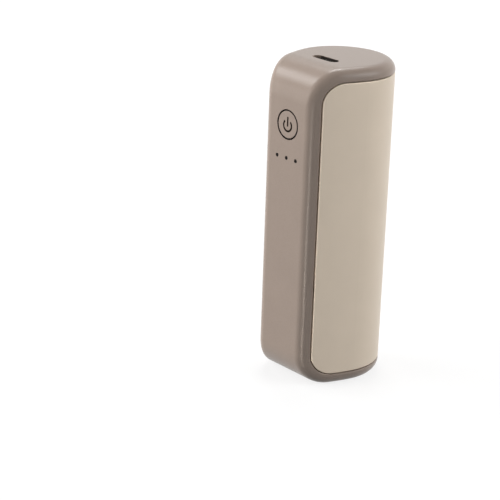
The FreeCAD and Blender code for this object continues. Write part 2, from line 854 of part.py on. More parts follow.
def heater_wire(side):
    return film_wire(side * heater_wire_side, wire_radius, heater_cross_z + heater_film_run, heater_cross_z,
                     board_base + heater_solder_rise)


def sensor_xs():
    return (lead_side, lead_side + lead_pitch)


def thermistor_leads():
    """Two thin leads from the heat sensor to the board."""
    end = board_base + lead_solder_rise
    return Part.makeCompound([film_wire(x, lead_radius, sensor_z, lead_cross_z, end) for x in sensor_xs()])


def thermistor():
    """Bead of the heat sensor on the film, over the ends of its leads."""
    x = sum(sensor_xs()) / 2
    edge = max(abs(x) for x in sensor_xs()) + sensor_radius
    tip = math.sqrt((nose_radius - foam_inset + glue_gap) ** 2 - edge ** 2) + nose_depth
    return post(sensor_radius, tip - sensor_radius, (sensor_z, sensor_z + 2 * sensor_radius), x)


nodes = {
    "back_housing": back_housing,
    "heat_panel": heat_panel,
    "panel_adhesive": panel_adhesive,
    "heater_film": heater_film,
    "foam_pad": foam_pad,
    "cell_cradle": cell_cradle,
    "cell_retainer": cell_retainer,
    "battery_cell": battery_cell,
    "cell_winding": cell_winding,
    "cell_washer": cell_washer,
    "cell_cap": cell_cap,
    "cell_sleeve": cell_sleeve,
    "end_cushion": end_cushion,
    "nickel_strip_negative": nickel_strip_negative,
    "nickel_strip_positive": nickel_strip_positive,
    "control_board": control_board,
    "board_screws": board_screws,
    "usb_shell": usb_shell,
    "usb_tongue": usb_tongue,
    "usb_contacts": usb_contacts,
    "power_button": power_button,
    "power_symbol": power_symbol,
    "switch_base": switch_base,
    "switch_cover": switch_cover,
    "switch_plunger": switch_plunger,
    "switch_dome": switch_dome,
    "light_guide": light_guide,
    "indicator_leds": indicator_leds,
    "control_chip": control_chip,
    "power_inductor": power_inductor,
    "chip_capacitors": chip_capacitors,
    "battery_wire": battery_wire,
    "heater_wire_red": lambda: heater_wire(-1),
    "heater_wire_black": lambda: heater_wire(1),
    "thermistor": thermistor,
    "thermistor_leads": thermistor_leads,
}

os.makedirs("parts", exist_ok=True)
for name, make in nodes.items():
    shape = make()
    shape.exportStep("parts/" + name + ".step")
    print("%-22s solids %2d, volume %9.3f" % (name, len(shape.Solids), shape.Volume))
print("body %.2f x %.2f x %.2f, flat %.2f" % (body_width, body_depth, body_height, 2 * flat_half))
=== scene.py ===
import bpy
import math
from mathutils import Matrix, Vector


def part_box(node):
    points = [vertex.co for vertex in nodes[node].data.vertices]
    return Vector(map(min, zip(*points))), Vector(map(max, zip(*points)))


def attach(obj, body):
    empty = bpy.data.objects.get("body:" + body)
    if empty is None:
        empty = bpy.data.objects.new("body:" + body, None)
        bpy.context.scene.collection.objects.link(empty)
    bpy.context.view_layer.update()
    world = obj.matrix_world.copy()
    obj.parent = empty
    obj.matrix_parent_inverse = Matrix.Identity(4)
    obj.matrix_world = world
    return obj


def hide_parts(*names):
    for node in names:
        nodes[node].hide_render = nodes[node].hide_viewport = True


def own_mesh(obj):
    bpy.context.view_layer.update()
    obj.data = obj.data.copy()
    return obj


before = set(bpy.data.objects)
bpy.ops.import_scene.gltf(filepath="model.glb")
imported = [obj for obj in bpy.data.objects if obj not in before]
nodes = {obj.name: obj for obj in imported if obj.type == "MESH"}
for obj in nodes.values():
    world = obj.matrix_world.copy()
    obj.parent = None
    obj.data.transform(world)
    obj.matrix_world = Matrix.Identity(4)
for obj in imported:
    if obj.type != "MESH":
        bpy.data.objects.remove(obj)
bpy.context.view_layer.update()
scene = bpy.context.scene
scene.view_settings.view_transform = "Standard"

MM = 0.001


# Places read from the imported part, in metres.

def box_of(node):
    low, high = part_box(node)
    return Vector(low), Vector(high)


def middle_of(node):
    low, high = box_of(node)
    return (low + high) / 2


housing_low, housing_high = box_of("back_housing")
panel_low, panel_high = box_of("heat_panel")
button_middle = middle_of("power_button")
socket_middle = middle_of("usb_contacts")


# Nodes of a finish. Every finish is read in Object coordinates, in metres.

def bare_tree(owner, output):
    """Empties the node tree of a material or a world; returns the tree and the surface that it ends in."""
    owner.use_nodes = True
    tree = owner.node_tree
    tree.nodes.clear()
    return tree, tree.nodes.new(output).inputs["Surface"]


def new_finish(name):
    finish = bpy.data.materials.new(name)
    tree, surface = bare_tree(finish, "ShaderNodeOutputMaterial")
    shader = tree.nodes.new("ShaderNodeBsdfPrincipled")
    tree.links.new(shader.outputs["BSDF"], surface)
    return finish, tree, shader


def feed(tree, value, socket):
    """Links the value where it is a socket itself, and sets it where it is plain."""
    if isinstance(value, bpy.types.NodeSocket):
        tree.links.new(value, socket)
    else:
        socket.default_value = value


def object_place(tree, stretch=(1, 1, 1), turn=(0, 0, 0)):
    place = tree.nodes.new("ShaderNodeTexCoord")
    mapping = tree.nodes.new("ShaderNodeMapping")
    mapping.vector_type = "TEXTURE"
    mapping.inputs["Rotation"].default_value = turn
    mapping.inputs["Scale"].default_value = stretch
    tree.links.new(place.outputs["Object"], mapping.inputs["Vector"])
    return mapping.outputs["Vector"]


def axes(tree, place):
    parts = tree.nodes.new("ShaderNodeSeparateXYZ")
    tree.links.new(place, parts.inputs["Vector"])
    return parts.outputs["X"], parts.outputs["Y"], parts.outputs["Z"]


def maths(tree, operation, *values):
    made = tree.nodes.new("ShaderNodeMath")
    made.operation = operation
    for value, socket in zip(values, made.inputs):
        feed(tree, value, socket)
    return made.outputs["Value"]


def plus(tree, first, second):
    return maths(tree, "ADD", first, second)


def minus(tree, first, second):
    return maths(tree, "SUBTRACT", first, second)


def times(tree, first, second):
    return maths(tree, "MULTIPLY", first, second)


def square(tree, value):
    return times(tree, value, value)


def away_from(tree, value, centre):
    return maths(tree, "ABSOLUTE", minus(tree, value, centre))


def length_of(tree, x, y):
    return maths(tree, "SQRT", plus(tree, square(tree, x), square(tree, y)))


def spread(tree, value, low, high, from_low=0.3, from_high=0.7):
    """Maps a value to low and high, from 0.3 and 0.7 unless told: most of a noise lies between those two."""
    made = tree.nodes.new("ShaderNodeMapRange")
    made.inputs["From Min"].default_value = from_low
    made.inputs["From Max"].default_value = from_high
    made.inputs["To Min"].default_value = low
    made.inputs["To Max"].default_value = high
    tree.links.new(value, made.inputs["Value"])
    return made.outputs["Result"]


def between(tree, share, low, high):
    """Low where the share is 0 and high where it is 1."""
    return spread(tree, share, low, high, 0.0, 1.0)


def below(tree, value, edge_mm, fade_mm):
    """1 under the edge, and 0 over it once it has faded."""
    return spread(tree, value, 1.0, 0.0, edge_mm * MM, (edge_mm + fade_mm) * MM)


def above(tree, value, edge_mm, fade_mm):
    """0 under the edge, and 1 over it once it has risen."""
    return spread(tree, value, 0.0, 1.0, edge_mm * MM, (edge_mm + fade_mm) * MM)


def noise(tree, place, size_mm, detail=2.0, roughness=0.5):
    made = tree.nodes.new("ShaderNodeTexNoise")
    made.inputs["Scale"].default_value = 1.0 / (size_mm * MM)
    made.inputs["Detail"].default_value = detail
    made.inputs["Roughness"].default_value = roughness
    tree.links.new(place, made.inputs["Vector"])
    return made.outputs["Fac"]


def cells(tree, place, size_mm):
    made = tree.nodes.new("ShaderNodeTexVoronoi")
    made.feature = "F1"
    made.inputs["Scale"].default_value = 1.0 / (size_mm * MM)
    tree.links.new(place, made.inputs["Vector"])
    return made.outputs["Distance"]


def bands(tree, place, pitch_mm, distortion=0.0):
    """Bands that follow each other along Z."""
    pitch_at_scale_one = 0.314
    made = tree.nodes.new("ShaderNodeTexWave")
    made.bands_direction = "Z"
    made.inputs["Scale"].default_value = pitch_at_scale_one / (pitch_mm * MM)
    made.inputs["Distortion"].default_value = distortion
    tree.links.new(place, made.inputs["Vector"])
    return made.outputs["Fac"]


def shade(colour, factor):
    return tuple(channel * factor for channel in colour)


def tint(tree, share, under, over):
    """Colour that goes from under to over with the share; each is a plain colour or a socket."""
    made = tree.nodes.new("ShaderNodeMix")
    made.data_type = "RGBA"
    sockets = [socket for socket in made.inputs if socket.type == "RGBA"]
    for colour, socket in zip((under, over), sockets):
        feed(tree, (*colour, 1) if isinstance(colour, tuple) else colour, socket)
    tree.links.new(share, made.inputs["Factor"])
    return next(socket for socket in made.outputs if socket.type == "RGBA")


def two_tone(tree, pattern, dark, light):
    """Colour that follows a noise."""
    return tint(tree, spread(tree, pattern, 0.0, 1.0), dark, light)


def clouded(tree, pattern, colour, amount):
    """One colour that a noise darkens and lightens by the amount."""
    return two_tone(tree, pattern, shade(colour, 1 - amount), shade(colour, 1 + amount))


def dress(tree, shader, paint, rough, height, depth_mm, metal=0.0):
    """Gives the shader its colour, roughness, share of metal and relief."""
    bump = tree.nodes.new("ShaderNodeBump")
    bump.inputs["Strength"].default_value = 1.0
    bump.inputs["Distance"].default_value = depth_mm * MM
    tree.links.new(height, bump.inputs["Height"])
    tree.links.new(bump.outputs["Normal"], shader.inputs["Normal"])
    tree.links.new(paint, shader.inputs["Base Color"])
    tree.links.new(rough, shader.inputs["Roughness"])
    feed(tree, metal, shader.inputs["Metallic"])


# Finishes that show on the outside.

def button_gap_shade(tree, x, y, z):
    """1 on the housing's walls in the gap round the button, where painted shade darkens them."""
    gap_radius = 4.9
    face_edge = 0.04
    ring = below(tree, length_of(tree, x, minus(tree, z, button_middle.z)), gap_radius, fade_mm=0.1)
    sunk = above(tree, y, housing_low.y / MM + face_edge, fade_mm=0.05)
    return times(tree, ring, sunk)


def slot_side_shade(tree, x, y, z):
    """1 on the long sides of the charging slot, below its lip, where painted shade darkens them."""
    half_length = 3.0
    half_width = 1.5
    lip = 0.09
    along = below(tree, maths(tree, "ABSOLUTE", x), half_length, fade_mm=0.5)
    across = below(tree, away_from(tree, y, socket_middle.y), half_width, fade_mm=0.1)
    under_lip = below(tree, z, housing_high.z / MM - lip, fade_mm=0.05)
    return times(tree, times(tree, along, across), under_lip)


def taupe_moulding():
    """Fine spark-eroded plastic, with painted shade in the gap round the button and along the slot, and a
    painted reflection at the foot.
    """
    colour = (0.304, 0.236, 0.193)
    shadow = (0.012, 0.008, 0.006)
    foot_height = 0.3
    finish, tree, shader = new_finish("taupe_plastic")
    place = object_place(tree)
    x, y, z = axes(tree, place)
    grain = noise(tree, place, 0.10)
    patchy_sheen = spread(tree, noise(tree, place, 0.9, detail=4.0), 0.0, 1.0, 0.45, 0.6)
    foot = times(tree, below(tree, z, foot_height, fade_mm=1.6), patchy_sheen)
    dark = maths(tree, "MAXIMUM", button_gap_shade(tree, x, y, z), slot_side_shade(tree, x, y, z))
    paint = clouded(tree, noise(tree, place, 6.0, detail=3.0), colour, 0.02)
    # Painted reflection of the pale floor: the band at the foot is lightened, broken into patches.
    paint = tint(tree, foot, paint, shade(colour, 1.12))
    # Painted shade: near black on the walls of the button's gap and on the slot's long sides.
    paint = tint(tree, dark, paint, shadow)
    hairline = noise(tree, object_place(tree, stretch=(1, 1, 30), turn=(0.25, 0.1, 0.0)), 0.12, detail=3.0)
    rough = plus(tree, spread(tree, grain, 0.25, 0.33), spread(tree, hairline, 0.0, 0.04, 0.62, 0.70))
    rough = plus(tree, rough, between(tree, foot, 0.0, 0.12))
    rough = plus(tree, rough, between(tree, dark, 0.0, 0.45))
    dress(tree, shader, paint, rough, grain, 0.0015)
    return finish


def panel_edge_highlight(tree, place):
    """1 along the panel's edge, which has rounded corners: the band of the painted highlight."""
    corner = 5.5 * MM
    highlight_width = 0.10
    y, z = axes(tree, place)[1:]
    half = (panel_high.z - panel_low.z) / 2 - corner
    inward = maths(tree, "MAXIMUM", minus(tree, panel_low.y + corner, y), 0.0)
    endward = away_from(tree, z, (panel_high.z + panel_low.z) / 2)
    endward = maths(tree, "MAXIMUM", minus(tree, endward, half), 0.0)
    from_edge = minus(tree, corner, length_of(tree, inward, endward))
    return below(tree, from_edge, highlight_width, fade_mm=0.22)


def beige_panel():
    """Bead-blasted, tinted metal with a painted highlight along its edge all round."""
    colour = (0.690, 0.590, 0.476)
    finish, tree, shader = new_finish("beige_metal")
    place = object_place(tree)
    grain = noise(tree, place, 0.08, detail=3.0)
    smudge = noise(tree, place, 14.0, detail=4.0, roughness=0.6)
    patchy_sheen = spread(tree, noise(tree, place, 2.5, detail=3.0), 0.75, 1.0)
    rim = times(tree, panel_edge_highlight(tree, place), patchy_sheen)
    paint = clouded(tree, noise(tree, place, 8.0, detail=3.0), colour, 0.015)
    # Painted highlight: a lighter band along the panel's edge, broken into patches.
    paint = tint(tree, rim, paint, shade(colour, 1.16))
    rough = plus(tree, spread(tree, grain, 0.37, 0.45), spread(tree, smudge, -0.02, 0.03))
    rough = minus(tree, rough, between(tree, rim, 0.0, 0.14))
    dress(tree, shader, paint, rough, grain, 0.0012, metal=0.3)
    return finish


def dull_ink():
    """Sunk dark inlay of the on-off mark."""
    finish, tree, shader = new_finish("dark_print")
    speck = noise(tree, object_place(tree), 0.06, detail=3.0)
    paint = two_tone(tree, speck, (0.007, 0.004, 0.002), (0.014, 0.009, 0.006))
    dress(tree, shader, paint, spread(tree, speck, 0.55, 0.72), speck, 0.002)
    shader.inputs["Specular IOR Level"].default_value = 0.06
    return finish


def smoked_tips():
    """Nearly black plastic of the light guide, with a browner haze."""
    finish, tree, shader = new_finish("smoked_guide")
    haze = noise(tree, object_place(tree), 0.35, detail=3.0)
    paint = two_tone(tree, haze, (0.004, 0.003, 0.003), (0.012, 0.010, 0.008))
    dress(tree, shader, paint, spread(tree, haze, 0.22, 0.34), haze, 0.001)
    shader.inputs["Specular IOR Level"].default_value = 0.08
    return finish


# Finishes of the pieces inside.

def mottled(name, colour, rough, mottle_mm, mottle, grain_mm, grain_depth, metal=0.0, rough_spread=0.05):
    """Plain finish with soft patches of the mottle's size and a finer grain."""
    finish, tree, shader = new_finish(name)
    place = object_place(tree)
    grain = noise(tree, place, grain_mm)
    paint = clouded(tree, noise(tree, place, mottle_mm, detail=3.0), colour, mottle)
    uneven = spread(tree, grain, rough - rough_spread, rough + rough_spread)
    dress(tree, shader, paint, uneven, grain, grain_depth, metal)
    return finish


def brushed(name, colour, rough, stretch):
    """Metal with drawn lines along the long side of the stretch, and a few darker stains."""
    finish, tree, shader = new_finish(name)
    lines = noise(tree, object_place(tree, stretch), 0.05, detail=3.0)
    stain = noise(tree, object_place(tree), 1.6, detail=4.0)
    paint = two_tone(tree, lines, shade(colour, 0.93), shade(colour, 1.05))
    paint = tint(tree, spread(tree, stain, 0.0, 0.5, 0.55, 0.75), paint, shade(colour, 0.7))
    dress(tree, shader, paint, spread(tree, lines, rough - 0.06, rough + 0.08), lines, 0.001, metal=1.0)
    return finish


def etched_film():
    """Amber film with a dull metal heating track folded to and fro across it."""
    track_pitch = 2.4
    finish, tree, shader = new_finish("heater_film")
    place = object_place(tree)
    track = spread(tree, bands(tree, place, track_pitch), 0.0, 1.0, 0.48, 0.54)
    cloud = spread(tree, noise(tree, place, 2.0, detail=3.0), 0.0, 1.0)
    amber = tint(tree, cloud, (0.40, 0.155, 0.025), (0.46, 0.19, 0.04))
    paint = tint(tree, track, amber, (0.36, 0.33, 0.29))
    metal = between(tree, track, 0.0, 0.85)
    dress(tree, shader, paint, between(tree, cloud, 0.24, 0.34), track, 0.02, metal)
    return finish


def open_foam():
    """Dark foam with open pores."""
    finish, tree, shader = new_finish("foam")
    place = object_place(tree)
    pores = cells(tree, place, 0.45)
    paint = tint(tree, spread(tree, pores, 0.0, 1.0, 0.1, 0.6), (0.018, 0.018, 0.020), (0.070, 0.070, 0.074))
    dress(tree, shader, paint, spread(tree, noise(tree, place, 1.2), 0.85, 0.97), pores, 0.12)
    return finish


def solder_mask():
    """Green board with lighter tracks under the lacquer."""
    track_pitch = 1.9
    finish, tree, shader = new_finish("board")
    place = object_place(tree)
    tracks = tree.nodes.new("ShaderNodeTexBrick")
    tracks.inputs["Scale"].default_value = 1.0 / (track_pitch * MM)
    tracks.inputs["Mortar Size"].default_value = 0.035
    tracks.inputs["Mortar Smooth"].default_value = 0.2
    tree.links.new(object_place(tree, turn=(math.pi / 2, 0, 0)), tracks.inputs["Vector"])
    patches = spread(tree, noise(tree, place, 4.0), 0.0, 1.0, 0.45, 0.55)
    line = times(tree, tracks.outputs["Fac"], patches)
    weave = noise(tree, place, 0.3)
    green = two_tone(tree, weave, (0.012, 0.075, 0.034), (0.017, 0.094, 0.045))
    paint = tint(tree, line, green, (0.045, 0.19, 0.075))
    dress(tree, shader, paint, spread(tree, weave, 0.28, 0.38), line, 0.02)
    return finish


def wound_foil():
    """Copper-brown foil with streaks along the roll."""
    finish, tree, shader = new_finish("foil_winding")
    streak = noise(tree, object_place(tree, stretch=(1, 1, 40)), 0.3, detail=3.0)
    paint = two_tone(tree, streak, (0.26, 0.14, 0.08), (0.40, 0.25, 0.17))
    rough = spread(tree, noise(tree, object_place(tree), 0.5), 0.32, 0.48)
    dress(tree, shader, paint, rough, streak, 0.004, metal=0.7)
    return finish


def shrunk_sleeve():
    """Blue-green shrink sleeve with faint rings of shrinkage."""
    ring_pitch = 0.9
    finish, tree, shader = new_finish("cell_sleeve")
    place = object_place(tree)
    rings = bands(tree, place, ring_pitch, distortion=3.0)
    paint = two_tone(tree, noise(tree, place, 3.0, detail=3.0), (0.026, 0.18, 0.22), (0.034, 0.22, 0.26))
    dress(tree, shader, paint, spread(tree, noise(tree, place, 0.6), 0.22, 0.34), rings, 0.012)
    return finish


def pressed_paper():
    """Pale insulating paper with fibres."""
    finish, tree, shader = new_finish("paper")
    fibre = noise(tree, object_place(tree, stretch=(6, 1, 6), turn=(0, 0.7, 0)), 0.12, detail=4.0)
    paint = two_tone(tree, fibre, (0.66, 0.64, 0.57), (0.80, 0.78, 0.71))
    dress(tree, shader, paint, spread(tree, fibre, 0.80, 0.94), fibre, 0.02)
    return finish


def white_lights():
    """White light bodies with a yellow lens on the side that faces the guide."""
    lens_depth = 0.10
    front = box_of("indicator_leds")[0].y / MM
    finish, tree, shader = new_finish("lamp")
    place = object_place(tree)
    cloud = spread(tree, noise(tree, place, 0.4, detail=3.0), 0.0, 1.0)
    white = tint(tree, cloud, (0.70, 0.69, 0.63), (0.78, 0.77, 0.72))
    lens = below(tree, axes(tree, place)[1], front + lens_depth, fade_mm=0.03)
    paint = tint(tree, lens, white, (0.80, 0.60, 0.10))
    dress(tree, shader, paint, between(tree, cloud, 0.26, 0.38), cloud, 0.004)
    return finish


finishes = {
    "taupe_plastic": taupe_moulding(),
    "beige_metal": beige_panel(),
    "dark_print": dull_ink(),
    "smoked_guide": smoked_tips(),
    "tape": mottled("tape", (0.020, 0.018, 0.017), rough=0.65,
                    mottle_mm=1.2, mottle=0.2, grain_mm=0.2, grain_depth=0.01),
    "heater_film": etched_film(),
    "foam": open_foam(),
    "cradle_plastic": mottled("cradle_plastic", (0.09, 0.085, 0.08), rough=0.48,
                              mottle_mm=5.0, mottle=0.08, grain_mm=0.15, grain_depth=0.006),
    "steel": brushed("steel", (0.56, 0.55, 0.53), rough=0.27, stretch=(1, 1, 20)),
    "nickel": brushed("nickel", (0.62, 0.58, 0.51), rough=0.24, stretch=(1, 14, 1)),
    "foil_winding": wound_foil(),
    "cell_sleeve": shrunk_sleeve(),
    "paper": pressed_paper(),
    "board": solder_mask(),
    "black_plastic": mottled("black_plastic", (0.018, 0.018, 0.019), rough=0.42,
                             mottle_mm=0.8, mottle=0.15, grain_mm=0.08, grain_depth=0.003),
    "ferrite": mottled("ferrite", (0.06, 0.058, 0.056), rough=0.55, rough_spread=0.1,
                       mottle_mm=0.15, mottle=0.35, grain_mm=0.08, grain_depth=0.01),
    "gold": mottled("gold", (0.83, 0.60, 0.24), rough=0.22, metal=1.0,
                    mottle_mm=0.5, mottle=0.08, grain_mm=0.04, grain_depth=0.0008),
    "ceramic": mottled("ceramic", (0.46, 0.33, 0.20), rough=0.45,
                       mottle_mm=0.5, mottle=0.1, grain_mm=0.05, grain_depth=0.002),
    "lamp": white_lights(),
    "red_wire": mottled("red_wire", (0.48, 0.025, 0.02), rough=0.38,
                        mottle_mm=1.5, mottle=0.1, grain_mm=0.25, grain_depth=0.006),
    "black_wire": mottled("black_wire", (0.02, 0.02, 0.021), rough=0.40,
                          mottle_mm=1.5, mottle=0.2, grain_mm=0.25, grain_depth=0.006),
    "sensor": mottled("sensor", (0.03, 0.03, 0.028), rough=0.25,
                      mottle_mm=0.7, mottle=0.25, grain_mm=0.3, grain_depth=0.006),
}

for cad_node in nodes.values():
    for slot in cad_node.material_slots:
        slot.material = finishes[slot.material.name.split(".")[0]]


# Small repeated pieces, made with Geometry Nodes from named sizes.

def new_tree(name, sizes):
    """Tree with an input for every size: a count is a whole number, a place a vector, a size one number."""
    kinds = {"count": "NodeSocketInt", "place": "NodeSocketVector", "size": "NodeSocketFloat"}
    tree = bpy.data.node_groups.new(name, "GeometryNodeTree")
    for size, kind in sizes:
        tree.interface.new_socket(size, in_out="INPUT", socket_type=kinds[kind])
    tree.interface.new_socket("Piece", in_out="OUTPUT", socket_type="NodeSocketGeometry")
    given = tree.nodes.new("NodeGroupInput").outputs
    return tree, given


def put(tree, kind, settings=None, **values):
    """Adds a node with its settings; values are its inputs by name, each a socket or a plain value."""
    made = tree.nodes.new(kind)
    for setting, value in (settings or {}).items():
        setattr(made, setting, value)
    for name, value in values.items():
        feed(tree, value, made.inputs[name.replace("_", " ")])
    return made.outputs[0]


def joined(tree, *shapes):
    made = tree.nodes.new("GeometryNodeJoinGeometry")
    for shape in shapes:
        tree.links.new(shape, made.inputs["Geometry"])
    return made.outputs["Geometry"]


def vector(tree, x=0.0, y=0.0, z=0.0):
    return put(tree, "ShaderNodeCombineXYZ", X=x, Y=y, Z=z)


def rotation(tree, x=0.0, y=0.0, z=0.0):
    return put(tree, "FunctionNodeEulerToRotation", Euler=vector(tree, x, y, z))


def moved(tree, shape, place):
    return put(tree, "GeometryNodeTransform", Geometry=shape, Translation=place)


def turned(tree, shape, degrees):
    """The shape turned about X by an angle in degrees."""
    return put(tree, "GeometryNodeTransform", Geometry=shape, Rotation=rotation(tree, math.radians(degrees)))


def row_length(tree, count, pitch):
    """Length from the first to the last of a row of pieces."""
    return times(tree, minus(tree, count, 1.0), pitch)


def end_tree(tree, shape, place, finish):
    """Puts the shape in its place, makes it one real mesh and gives it its finish."""
    whole = put(tree, "GeometryNodeRealizeInstances", Geometry=moved(tree, shape, place))
    dressed = put(tree, "GeometryNodeSetMaterial", Geometry=whole, Material=finish)
    tree.links.new(dressed, tree.nodes.new("NodeGroupOutput").inputs["Piece"])


def grow(name, tree, sizes, node):
    """Runs the tree once with its sizes and keeps the result as a plain mesh that stands for the CAD node."""
    holder = bpy.data.objects.new(name + "_holder", bpy.data.meshes.new(name + "_holder"))
    scene.collection.objects.link(holder)
    maker = holder.modifiers.new("maker", "NODES")
    maker.node_group = tree
    for item in tree.interface.items_tree:
        if item.item_type == "SOCKET" and item.in_out == "INPUT":
            maker[item.identifier] = sizes[item.name]
    mesh = bpy.data.meshes.new_from_object(holder.evaluated_get(bpy.context.evaluated_depsgraph_get()))
    holder.modifiers.remove(maker)
    bpy.data.objects.remove(holder)
    mesh.name = name
    piece = bpy.data.objects.new(name, mesh)
    scene.collection.objects.link(piece)
    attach(piece, "warmer")
    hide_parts(node)
    return piece


def rounded_plate(tree, width, length, thickness, corner):
    """Closed plate on the XY plane that rises along +Z, with rounded corners."""
    outline = put(tree, "GeometryNodeCurvePrimitiveQuadrilateral", Width=width, Height=length)
    outline = put(tree, "GeometryNodeFilletCurve", {"mode": "POLY"}, Curve=outline, Count=4, Radius=corner,
                  Limit_Radius=True)
    under = put(tree, "GeometryNodeFillCurve", {"mode": "NGONS"}, Curve=outline)
    raised = put(tree, "GeometryNodeExtrudeMesh", {"mode": "FACES"}, Mesh=under, Offset_Scale=thickness,
                 Individual=False)
    whole = joined(tree, raised, put(tree, "GeometryNodeFlipFaces", Mesh=under))
    return put(tree, "GeometryNodeMergeByDistance", Geometry=whole, Distance=1e-7)


def plate_grid_tree(name, finish):
    """Equal plates in columns along X and rows along Z; Turn says whether they rise along -Y or +Y."""
    tree, given = new_tree(name, (
        ("Columns", "count"), ("Rows", "count"), ("Column pitch", "size"), ("Row pitch", "size"),
        ("Plate width", "size"), ("Plate height", "size"), ("Plate thickness", "size"), ("Corner", "size"),
        ("Turn", "size"), ("Middle", "place")))
    plate = rounded_plate(tree, given["Plate width"], given["Plate height"], given["Plate thickness"],
                          given["Corner"])
    wide = row_length(tree, given["Columns"], given["Column pitch"])
    high = row_length(tree, given["Rows"], given["Row pitch"])
    places = put(tree, "GeometryNodeMeshGrid", Size_X=wide, Size_Y=high, Vertices_X=given["Columns"],
                 Vertices_Y=given["Rows"])
    plates = put(tree, "GeometryNodeInstanceOnPoints", Points=places, Instance=plate)
    plates = put(tree, "GeometryNodeTransform", Geometry=plates, Rotation=rotation(tree, given["Turn"]))
    end_tree(tree, plates, given["Middle"], finish)
    return tree


def plate_grid(name, node, slot, foot, plate, corner, columns=1, rows=1, column_pitch=1.0, row_pitch=1.0,
               back=False):
    """Plates of a width, height and thickness that rise from a foot along -Y, or from the back along +Y."""
    width, height, thickness = plate
    grow(name, plate_grid_tree(name, finishes[slot]), {
        "Columns": columns, "Rows": rows, "Column pitch": column_pitch * MM, "Row pitch": row_pitch * MM,
        "Plate width": width * MM, "Plate height": height * MM, "Plate thickness": thickness * MM,
        "Corner": corner * MM, "Turn": math.radians(-90 if back else 90), "Middle": foot}, node)


def pitch_of(low, high, width, count):
    """Pitch in millimetres of equal pieces that fill the CAD box from low to high."""
    return ((high - low) / MM - width) / (count - 1)


def socket_contacts():
    """Twelve gold strips on each face of the socket's tongue."""
    contacts = 12
    width = 0.25
    thickness = 0.08
    low, high = box_of("usb_contacts")
    middle = (low + high) / 2
    strip = (width, (high.z - low.z) / MM, thickness)
    pitch = pitch_of(low.x, high.x, width, contacts)
    front_face = (middle.x, low.y + thickness * MM, middle.z)
    back_face = (middle.x, high.y - thickness * MM, middle.z)
    plate_grid("contacts_front", "usb_contacts", "gold", front_face, strip, corner=0.09, columns=contacts,
               column_pitch=pitch)
    plate_grid("contacts_back", "usb_contacts", "gold", back_face, strip, corner=0.09, columns=contacts,
               column_pitch=pitch, back=True)


def board_capacitors():
    """Four ceramic blocks with a metal cap at each end."""
    blocks = 4
    body = (1.30, 1.17, 0.84)
    cap = (0.40, 1.25, 0.90)
    low, high = box_of("chip_capacitors")
    middle = (low + high) / 2
    foot = (middle.x, low.y, middle.z)
    ends_apart = pitch_of(low.x, high.x, cap[0], 2)
    blocks_apart = pitch_of(low.z, high.z, cap[1], blocks)
    plate_grid("capacitor_bodies", "chip_capacitors", "ceramic", foot, body, corner=0.06, rows=blocks,
               row_pitch=blocks_apart, back=True)
    plate_grid("capacitor_caps", "chip_capacitors", "nickel", foot, cap, corner=0.08, columns=2, rows=blocks,
               column_pitch=ends_apart, row_pitch=blocks_apart, back=True)


def board_lights():
    """Three white light bodies, each with a lens under the guide."""
    lights = 3
    body = (1.6, 0.8, 0.48)
    lens = (0.9, 0.62, 0.13)
    lens_foot = 0.47 * MM
    low, high = box_of("indicator_leds")
    middle = (low + high) / 2
    pitch = pitch_of(low.x, high.x, body[0], lights)
    plate_grid("light_bodies", "indicator_leds", "lamp", (middle.x, high.y, middle.z), body, corner=0.06,
               columns=lights, column_pitch=pitch)
    plate_grid("light_lenses", "indicator_leds", "lamp", (middle.x, high.y - lens_foot, middle.z), lens,
               corner=0.28, columns=lights, column_pitch=pitch)


def screw_head(tree, given):
    """Head that stands on the XY plane, with a rounded top edge and a cross recess."""
    axis = put(tree, "GeometryNodeCurvePrimitiveLine", End=vector(tree, z=given["Head height"]))
    axis = put(tree, "GeometryNodeResampleCurve", Curve=axis, Count=25)
    rise = axes(tree, put(tree, "GeometryNodeInputPosition"))[2]
    straight = minus(tree, given["Head height"], given["Head round"])
    over = maths(tree, "MAXIMUM", minus(tree, rise, straight), 0.0)
    left = minus(tree, square(tree, given["Head round"]), square(tree, over))
    bow = maths(tree, "SQRT", maths(tree, "MAXIMUM", left, 0.0))
    radius = plus(tree, minus(tree, given["Head radius"], given["Head round"]), bow)
    circle = put(tree, "GeometryNodeCurvePrimitiveCircle", Resolution=40, Radius=1.0)
    head = put(tree, "GeometryNodeCurveToMesh", Curve=axis, Profile_Curve=circle, Scale=radius,
               Fill_Caps=True)
    long_side = times(tree, given["Recess reach"], 2.0)
    short_side = given["Recess width"]
    tall = times(tree, given["Recess depth"], 2.0)
    top = vector(tree, z=given["Head height"])
    for wide, deep in ((long_side, short_side), (short_side, long_side)):
        arm = put(tree, "GeometryNodeMeshCube", Size=vector(tree, wide, deep, tall))
        cut = tree.nodes.new("GeometryNodeMeshBoolean")
        cut.operation = "DIFFERENCE"
        cut.solver = "EXACT"
        tree.links.new(head, cut.inputs["Mesh 1"])
        tree.links.new(moved(tree, arm, top), cut.inputs["Mesh 2"])
        head = cut.outputs["Mesh"]
    return head


def screw_shank(tree, given):
    """Core that hangs from the XY plane, and the thread wound round it."""
    down = times(tree, given["Shank length"], -0.5)
    core = put(tree, "GeometryNodeMeshCylinder", Vertices=24, Radius=given["Core radius"],
               Depth=given["Shank length"])
    core = moved(tree, core, vector(tree, z=down))
    ridge = minus(tree, given["Thread radius"], given["Core radius"])
    run = minus(tree, given["Shank length"], times(tree, ridge, 2.4))
    helix = put(tree, "GeometryNodeCurveSpiral", Resolution=24,
                Rotations=maths(tree, "DIVIDE", run, given["Thread pitch"]),
                Start_Radius=given["Core radius"], End_Radius=given["Core radius"], Height=run)
    profile = put(tree, "GeometryNodeCurvePrimitiveCircle", Resolution=6, Radius=ridge)
    thread = put(tree, "GeometryNodeCurveToMesh", Curve=helix, Profile_Curve=profile, Fill_Caps=True)
    thread = moved(tree, thread, vector(tree, z=minus(tree, ridge, given["Shank length"])))
    return core, thread


